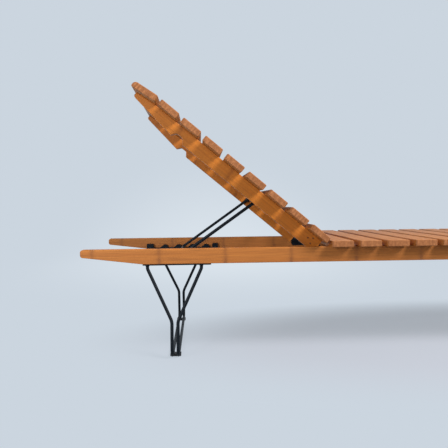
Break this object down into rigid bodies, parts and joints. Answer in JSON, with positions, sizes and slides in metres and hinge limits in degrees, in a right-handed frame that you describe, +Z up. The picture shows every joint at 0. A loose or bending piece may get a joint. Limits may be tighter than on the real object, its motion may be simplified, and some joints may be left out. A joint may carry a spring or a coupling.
{
  "type": "sun lounger with folding backrest",
  "caption": "Low slatted bamboo sun lounger on bent steel rod legs; the backrest folds flat and is held up by a rod prop in toothed racks.",
  "frame": {"origin": "on the floor, below the centre of the bounding box with the backrest raised as in the picture", "axes": "+X from the head end to the foot end, +Y to the left side of a person lying on it, +Z up"},
  "size_m": [2.025, 0.68, 0.8995],
  "materials": {
    "bamboo_rail": "oiled laminated bamboo, satin",
    "bamboo_slat": "oiled laminated bamboo, satin",
    "black_steel": "fine black powder coat, satin",
    "dark_bolt": "black zinc plated steel",
    "black_nylon": "moulded nylon"
  },
  "bodies": {
    "frame": {"main_rail_right": "bamboo_rail", "main_rail_left": "bamboo_rail", "seat_slat_1": "bamboo_slat", "seat_slat_2": "bamboo_slat", "seat_slat_3": "bamboo_slat", "seat_slat_4": "bamboo_slat", "seat_slat_5": "bamboo_slat", "seat_slat_6": "bamboo_slat", "seat_slat_7": "bamboo_slat", "seat_slat_8": "bamboo_slat", "seat_slat_9": "bamboo_slat", "seat_slat_10": "bamboo_slat", "seat_slat_11": "bamboo_slat", "seat_slat_12": "bamboo_slat", "seat_slat_13": "bamboo_slat", "head_leg_rod_outer": "black_steel", "head_leg_rod_inner": "black_steel", "foot_leg_rod_outer": "black_steel", "foot_leg_rod_inner": "black_steel", "head_leg_plate_right": "black_steel", "head_leg_plate_left": "black_steel", "head_glide_right": "black_nylon", "head_glide_left": "black_nylon", "foot_leg_plate_right": "black_steel", "foot_leg_plate_left": "black_steel", "foot_glide_right": "black_nylon", "foot_glide_left": "black_nylon", "rack_right": "black_steel", "rack_left": "black_steel", "hinge_bracket_right": "black_steel", "hinge_bracket_left": "black_steel", "hinge_bolt_right": "dark_bolt", "hinge_bolt_left": "dark_bolt"},
    "backrest": {"backrest_rail_right": "bamboo_rail", "backrest_rail_left": "bamboo_rail", "backrest_slat_1": "bamboo_slat", "backrest_slat_2": "bamboo_slat", "backrest_slat_3": "bamboo_slat", "backrest_slat_4": "bamboo_slat", "backrest_slat_5": "bamboo_slat", "backrest_slat_6": "bamboo_slat", "backrest_slat_7": "bamboo_slat", "backrest_slat_8": "bamboo_slat", "backrest_slat_9": "bamboo_slat", "hinge_tongue_right": "black_steel", "hinge_tongue_left": "black_steel", "prop_bush_right": "black_nylon", "prop_bush_left": "black_nylon", "prop_bolt_right": "dark_bolt", "prop_bolt_left": "dark_bolt"},
    "prop": {"prop": "black_steel"}
  },
  "joints": [
    {"name": "backrest_recline", "type": "hinge", "parent": "frame", "child": "backrest", "pos_m": [-0.1905, 0, 0.349], "axis": [0, 1, 0], "range_deg": [-39.3, 20]},
    {"name": "prop_swing", "type": "hinge", "parent": "backrest", "child": "prop", "pos_m": [-0.41561, 0, 0.52061], "axis": [0, 1, 0], "range_deg": [-36.8, 72.3]}
  ],
  "couplings": [
    {"joint": "prop_swing", "follows": "backrest_recline", "ratio": -1.837}
  ]
}
